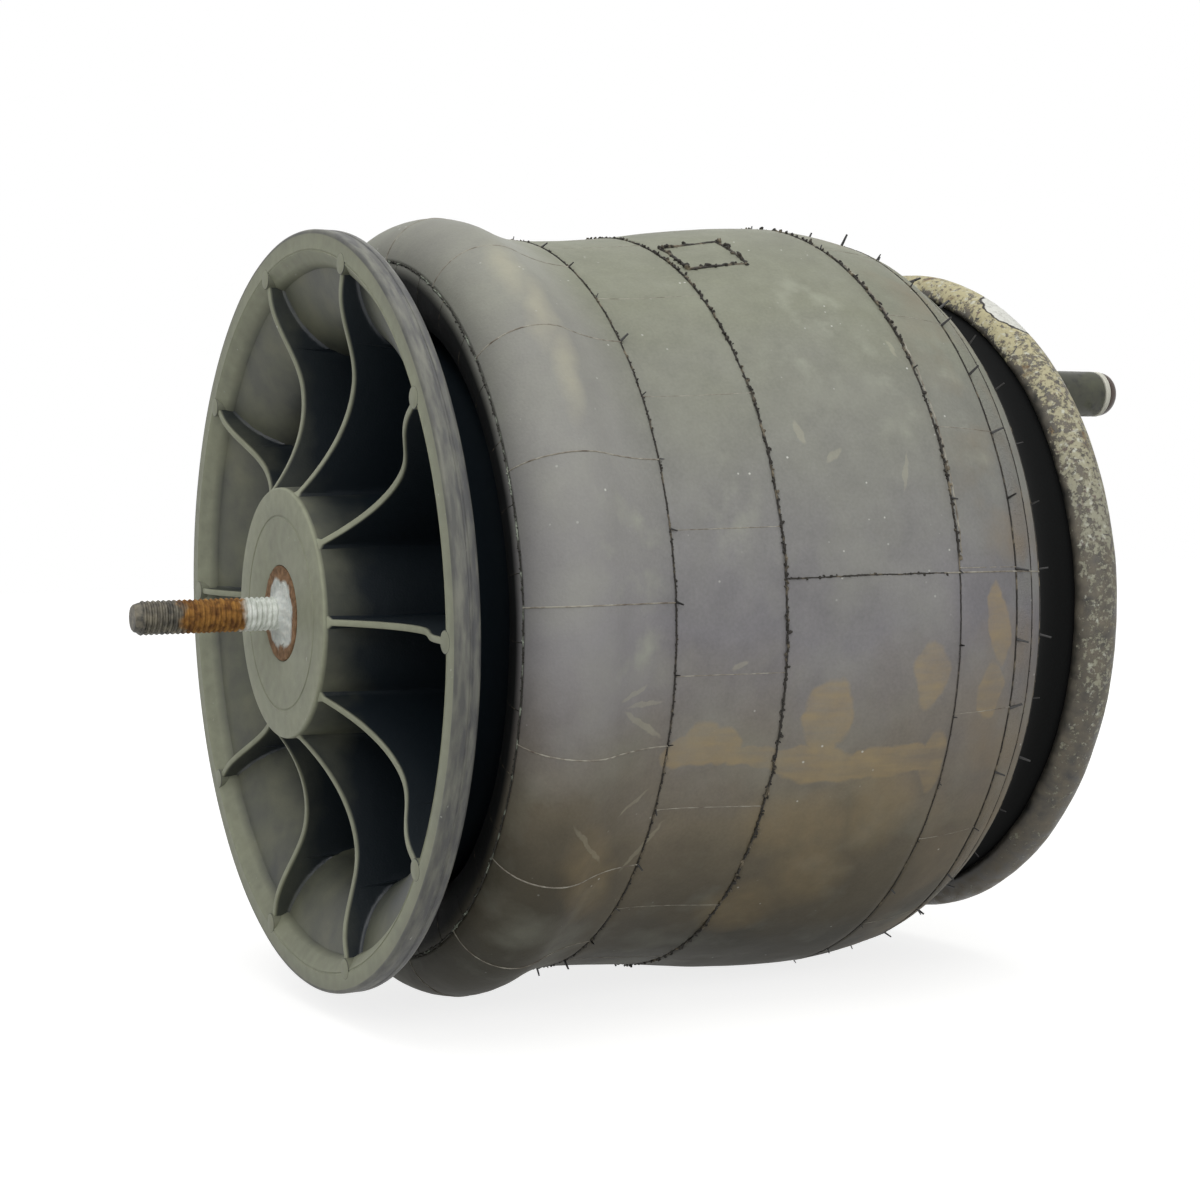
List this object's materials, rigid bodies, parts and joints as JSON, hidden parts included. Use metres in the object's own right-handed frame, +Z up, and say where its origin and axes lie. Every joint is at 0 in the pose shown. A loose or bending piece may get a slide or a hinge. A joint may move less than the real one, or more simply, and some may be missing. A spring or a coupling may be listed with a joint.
{
  "type": "air suspension spring",
  "caption": "Rolling-lobe air spring: rubber sleeve crimped in a steel bead plate, folded over a ribbed moulded piston with a centre stud.",
  "frame": {"origin": "centre of the bead plate's flat mounting face", "axes": "+X out of the bead plate along the spring's axis, piston towards -X, +Z up with the spring lying on its sleeve"},
  "size_m": [0.3977, 0.3006, 0.3006],
  "materials": {
    "black_paint": "black paint on pressed steel, flaking to pale grey-green on the rolled rim",
    "blackened_steel": "blackened turned steel",
    "plug_plastic": "dark brown moulded plastic",
    "washer_plastic": "pale washer",
    "bead_wire": "bronze-coated steel wire bundle",
    "sleeve_rubber": "weathered grey-black rubber with moulding flash and dried mud",
    "zinc_steel": "zinc-plated pressed steel",
    "bumper_rubber": "solid black rubber",
    "rusty_steel": "steel with brown rust and white zinc corrosion",
    "piston_nylon": "glass-filled nylon, dark grey with an olive bloom"
  },
  "bodies": {
    "bead_plate_body": {"bead_plate": "black_paint", "air_inlet_stud": "blackened_steel", "mounting_stud": "blackened_steel", "inlet_plug": "plug_plastic", "plug_washer": "washer_plastic", "upper_bead_hoop": "bead_wire"},
    "sleeve_body": {"sleeve": "sleeve_rubber"},
    "piston_body": {"piston": "piston_nylon", "boss_insert": "rusty_steel", "piston_stud": "rusty_steel", "load_tube": "zinc_steel", "end_closure": "zinc_steel", "lower_bead_hoop": "bead_wire", "bumper_retainer": "zinc_steel", "bumper": "bumper_rubber", "stud_seal_washer": "zinc_steel"}
  },
  "joints": [
    {"name": "fold_travel", "type": "slide", "parent": "bead_plate_body", "child": "sleeve_body", "axis": [1, 0, 0], "range_m": [-0.1, 0.011], "stiffness_N_per_m": 6000, "deforming": ["sleeve"]},
    {"name": "piston_travel", "type": "slide", "parent": "sleeve_body", "child": "piston_body", "axis": [1, 0, 0], "range_m": [-0.1, 0.011], "stiffness_N_per_m": 6000, "deforming": ["sleeve"]}
  ],
  "couplings": [
    {"joint": "piston_travel", "follows": "fold_travel", "ratio": 1}
  ]
}
